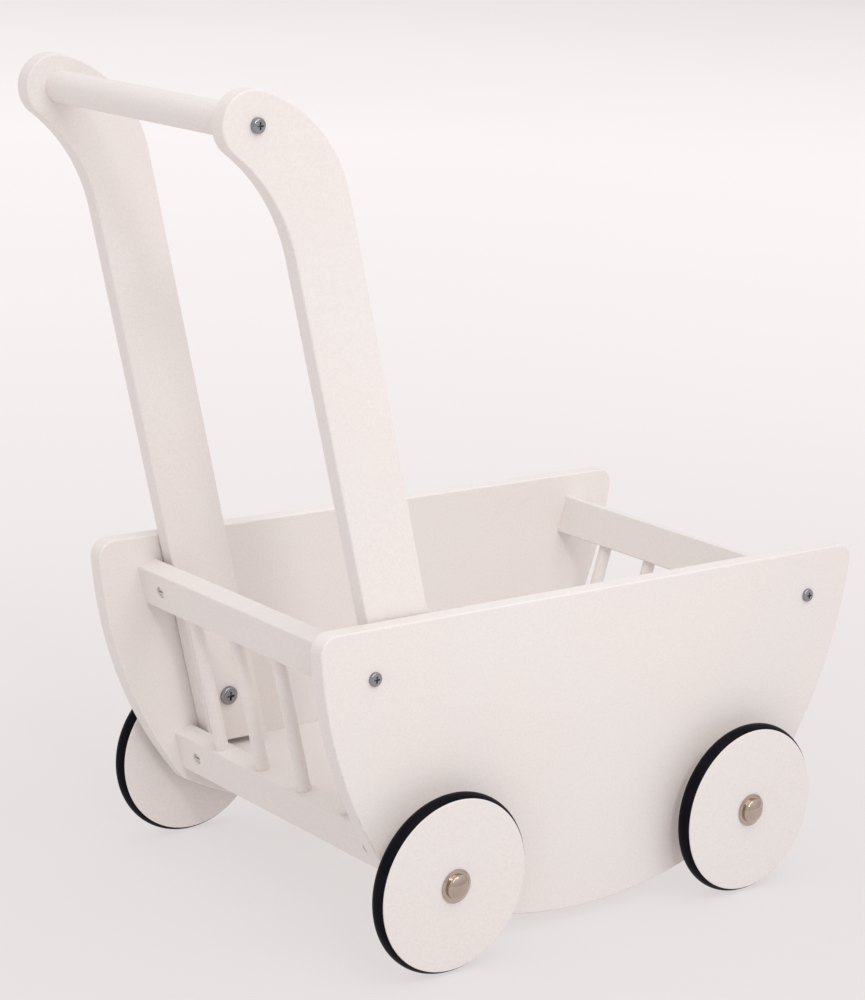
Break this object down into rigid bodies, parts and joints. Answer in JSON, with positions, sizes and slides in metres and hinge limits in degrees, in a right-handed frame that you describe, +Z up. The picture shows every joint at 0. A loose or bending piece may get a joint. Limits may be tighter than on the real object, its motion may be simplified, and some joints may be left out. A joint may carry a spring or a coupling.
{
  "type": "doll stroller",
  "caption": "Wooden doll's push stroller: open box between boat-shaped side panels, slatted sloping ends, S-curved raised handle with a round bar, and free-rolling rubber-tyred disc wheels.",
  "frame": {"origin": "on the ground, under the middle of the whole stroller", "axes": "+X forward, away from the handle; +Y to the stroller's left; +Z up"},
  "size_m": [0.5176, 0.3162, 0.5446],
  "materials": {
    "painted_wood": "white satin paint",
    "rubber": "matt black",
    "nickel": "bright nickel plate",
    "steel": "drawn, zinc plated",
    "spacer": "matt white"
  },
  "bodies": {
    "frame": {"side_panel_left": "painted_wood", "side_panel_right": "painted_wood", "floor_board": "painted_wood", "rear_top_rail": "painted_wood", "rear_bottom_rail": "painted_wood", "front_top_rail": "painted_wood", "front_bottom_rail": "painted_wood", "handle_upright_left": "painted_wood", "handle_upright_right": "painted_wood", "handlebar": "painted_wood", "rear_spindle_1": "painted_wood", "rear_spindle_2": "painted_wood", "rear_spindle_3": "painted_wood", "rear_spindle_4": "painted_wood", "front_spindle_1": "painted_wood", "front_spindle_2": "painted_wood", "front_spindle_3": "painted_wood", "front_spindle_4": "painted_wood", "rear_axle": "steel", "front_axle": "steel", "axle_spacer_rear_left": "spacer", "axle_cap_rear_left": "nickel", "axle_spacer_rear_right": "spacer", "axle_cap_rear_right": "nickel", "axle_spacer_front_left": "spacer", "axle_cap_front_left": "nickel", "axle_spacer_front_right": "spacer", "axle_cap_front_right": "nickel", "rail_bolts_left": "nickel", "upright_screws_left": "nickel", "handlebar_screw_left": "nickel", "rail_bolts_right": "nickel", "upright_screws_right": "nickel", "handlebar_screw_right": "nickel", "rear_barrel_nuts": "nickel", "front_barrel_nuts": "nickel"},
    "wheel_rear_left": {"wheel_disc_rear_left": "painted_wood", "tyre_rear_left": "rubber"},
    "wheel_rear_right": {"wheel_disc_rear_right": "painted_wood", "tyre_rear_right": "rubber"},
    "wheel_front_left": {"wheel_disc_front_left": "painted_wood", "tyre_front_left": "rubber"},
    "wheel_front_right": {"wheel_disc_front_right": "painted_wood", "tyre_front_right": "rubber"}
  },
  "joints": [
    {"name": "wheel_spin_rear_left", "type": "hinge", "parent": "frame", "child": "wheel_rear_left", "pos_m": [-0.0978, 0.1453, 0.0585], "axis": [0, 1, 0], "continuous": true},
    {"name": "wheel_spin_rear_right", "type": "hinge", "parent": "frame", "child": "wheel_rear_right", "pos_m": [-0.0978, -0.1453, 0.0585], "axis": [0, 1, 0], "continuous": true},
    {"name": "wheel_spin_front_left", "type": "hinge", "parent": "frame", "child": "wheel_front_left", "pos_m": [0.1565, 0.1453, 0.0585], "axis": [0, 1, 0], "continuous": true},
    {"name": "wheel_spin_front_right", "type": "hinge", "parent": "frame", "child": "wheel_front_right", "pos_m": [0.1565, -0.1453, 0.0585], "axis": [0, 1, 0], "continuous": true}
  ]
}
